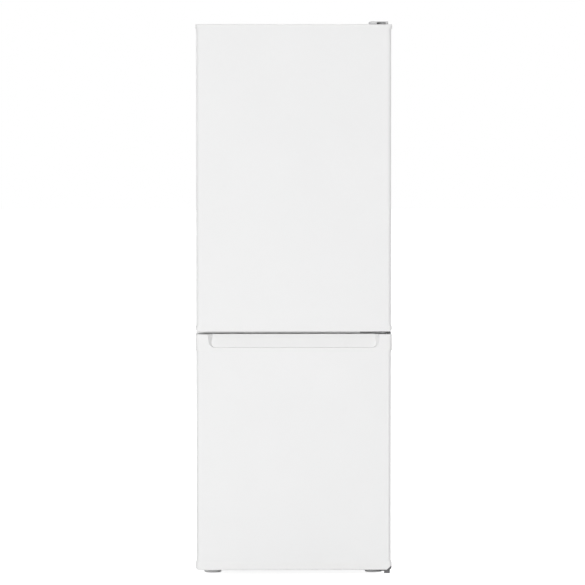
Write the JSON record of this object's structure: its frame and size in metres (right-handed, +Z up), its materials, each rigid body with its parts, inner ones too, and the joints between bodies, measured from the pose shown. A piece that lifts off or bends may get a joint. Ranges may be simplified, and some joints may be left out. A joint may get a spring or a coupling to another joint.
{
  "type": "fridge freezer",
  "caption": "Tall white free-standing fridge freezer with a fridge door above a freezer door, right-hand hinges and a wide grip recess between them.",
  "frame": {"origin": "on the floor, under the middle of the appliance's outer box", "axes": "+Z up, -Y towards the user at the front, +X to the hinge side on the right"},
  "size_m": [0.54, 0.575, 1.524],
  "materials": {
    "white_steel": "smooth white powder coat, satin",
    "white_moulding": "white moulded plastic, satin",
    "liner_plastic": "white thermoformed plastic, semi-gloss",
    "foam": "rigid cellular foam, matte",
    "galvanised_steel": "galvanised sheet",
    "shelf_glass": "clear tempered glass",
    "clear_plastic": "clear moulded plastic",
    "gasket_rubber": "soft grey-white gasket",
    "hinge_steel": "black coated steel, satin",
    "screw_zinc": "zinc-plated steel",
    "dark_plastic": "dark moulded plastic, matte",
    "foot_plastic": "light grey moulded plastic",
    "evaporator_aluminium": "bare rolled aluminium",
    "condenser_black": "black enamel",
    "compressor_black": "black enamel",
    "mount_rubber": "black rubber",
    "pipe_copper": "bare copper",
    "lamp_board": "white lamp board"
  },
  "bodies": {
    "cabinet": {"left_side_panel": "white_steel", "right_side_panel": "white_steel", "front_rails": "white_steel", "mullion": "white_steel", "top_panel": "white_moulding", "top_hinge_cover": "white_moulding", "fridge_liner": "liner_plastic", "freezer_liner": "liner_plastic", "control_housing": "liner_plastic", "shelf_trims": "liner_plastic", "cabinet_foam": "foam", "back_panel": "galvanised_steel", "compressor_bay_panel": "galvanised_steel", "base_frame": "galvanised_steel", "upper_shelf": "shelf_glass", "lower_shelf": "shelf_glass", "crisper_cover": "shelf_glass", "lamp_cover": "clear_plastic", "top_hinge": "hinge_steel", "mid_hinge": "hinge_steel", "bottom_hinge": "hinge_steel", "hinge_screws": "screw_zinc", "relay_cover": "dark_plastic", "wall_spacers": "dark_plastic", "condenser_brackets": "dark_plastic", "drain_tube": "dark_plastic", "evaporation_pan": "dark_plastic", "evaporator_shelves": "evaporator_aluminium", "fridge_evaporator": "evaporator_aluminium", "condenser_tube": "condenser_black", "condenser_wires": "condenser_black", "compressor": "compressor_black", "compressor_mounts": "mount_rubber", "refrigerant_pipes": "pipe_copper", "lamp": "lamp_board"},
    "fridge_door": {"fridge_door_skin": "white_steel", "fridge_door_top_cap": "white_moulding", "fridge_door_bottom_cap": "white_moulding", "fridge_door_liner": "liner_plastic", "fridge_door_foam": "foam", "fridge_door_gasket": "gasket_rubber"},
    "freezer_door": {"freezer_door_skin": "white_steel", "freezer_door_grip_cap": "white_moulding", "freezer_door_bottom_cap": "white_moulding", "freezer_door_liner": "liner_plastic", "freezer_door_foam": "foam", "freezer_door_gasket": "gasket_rubber"},
    "crisper": {"crisper_drawer": "clear_plastic"},
    "top_drawer": {"top_freezer_drawer": "clear_plastic"},
    "middle_drawer": {"middle_freezer_drawer": "clear_plastic"},
    "bottom_drawer": {"bottom_freezer_drawer": "clear_plastic"},
    "upper_door_bin": {"upper_bin": "clear_plastic"},
    "middle_door_bin": {"middle_bin": "clear_plastic"},
    "bottle_door_bin": {"bottle_bin": "clear_plastic"},
    "knob": {"thermostat_knob": "liner_plastic"},
    "light_switch": {"light_switch_plunger": "liner_plastic"},
    "left_wheel": {"left_roller": "dark_plastic"},
    "right_wheel": {"right_roller": "dark_plastic"},
    "left_levelling_foot": {"left_foot": "foot_plastic"},
    "right_levelling_foot": {"right_foot": "foot_plastic"}
  },
  "joints": [
    {"name": "fridge_door_swing", "type": "hinge", "parent": "cabinet", "child": "fridge_door", "pos_m": [0.2455, -0.2625, 1.094], "axis": [0, 0, 1], "range_deg": [0, 130]},
    {"name": "freezer_door_swing", "type": "hinge", "parent": "cabinet", "child": "freezer_door", "pos_m": [0.2455, -0.2625, 0.3395], "axis": [0, 0, 1], "range_deg": [0, 130]},
    {"name": "crisper_slide", "type": "slide", "parent": "cabinet", "child": "crisper", "axis": [0, -1, 0], "range_m": [0, 0.216]},
    {"name": "top_drawer_slide", "type": "slide", "parent": "cabinet", "child": "top_drawer", "axis": [0, -1, 0], "range_m": [0, 0.171]},
    {"name": "middle_drawer_slide", "type": "slide", "parent": "cabinet", "child": "middle_drawer", "axis": [0, -1, 0], "range_m": [0, 0.171]},
    {"name": "bottom_drawer_slide", "type": "slide", "parent": "cabinet", "child": "bottom_drawer", "axis": [0, -1, 0], "range_m": [0, 0.171]},
    {"name": "upper_bin_lift", "type": "slide", "parent": "fridge_door", "child": "upper_door_bin", "axis": [0, 0, 1], "range_m": [0, 0.025]},
    {"name": "middle_bin_lift", "type": "slide", "parent": "fridge_door", "child": "middle_door_bin", "axis": [0, 0, 1], "range_m": [0, 0.025]},
    {"name": "bottle_bin_lift", "type": "slide", "parent": "fridge_door", "child": "bottle_door_bin", "axis": [0, 0, 1], "range_m": [0, 0.025]},
    {"name": "thermostat_turn", "type": "hinge", "parent": "cabinet", "child": "knob", "pos_m": [-0.06, -0.19, 1.441], "axis": [0, -1, 0], "range_deg": [-150, 150]},
    {"name": "light_switch_slide", "type": "slide", "parent": "cabinet", "child": "light_switch", "axis": [0, -1, 0], "range_m": [0, 0.006]},
    {"name": "left_roller_spin", "type": "hinge", "parent": "cabinet", "child": "left_wheel", "pos_m": [-0.215, 0.2185, 0.02], "axis": [1, 0, 0], "continuous": true},
    {"name": "right_roller_spin", "type": "hinge", "parent": "cabinet", "child": "right_wheel", "pos_m": [0.215, 0.2185, 0.02], "axis": [1, 0, 0], "continuous": true},
    {"name": "left_foot_screw", "type": "slide", "parent": "cabinet", "child": "left_levelling_foot", "axis": [0, 0, -1], "range_m": [0, 0.012]},
    {"name": "right_foot_screw", "type": "slide", "parent": "cabinet", "child": "right_levelling_foot", "axis": [0, 0, -1], "range_m": [0, 0.012]}
  ],
  "couplings": [
    {"joint": "crisper_slide", "follows": "fridge_door_swing", "m_per_rad": 0.095},
    {"joint": "light_switch_slide", "follows": "fridge_door_swing", "m_per_rad": 0.0026},
    {"joint": "top_drawer_slide", "follows": "freezer_door_swing", "m_per_rad": 0.075},
    {"joint": "middle_drawer_slide", "follows": "freezer_door_swing", "m_per_rad": 0.075},
    {"joint": "bottom_drawer_slide", "follows": "freezer_door_swing", "m_per_rad": 0.075}
  ]
}
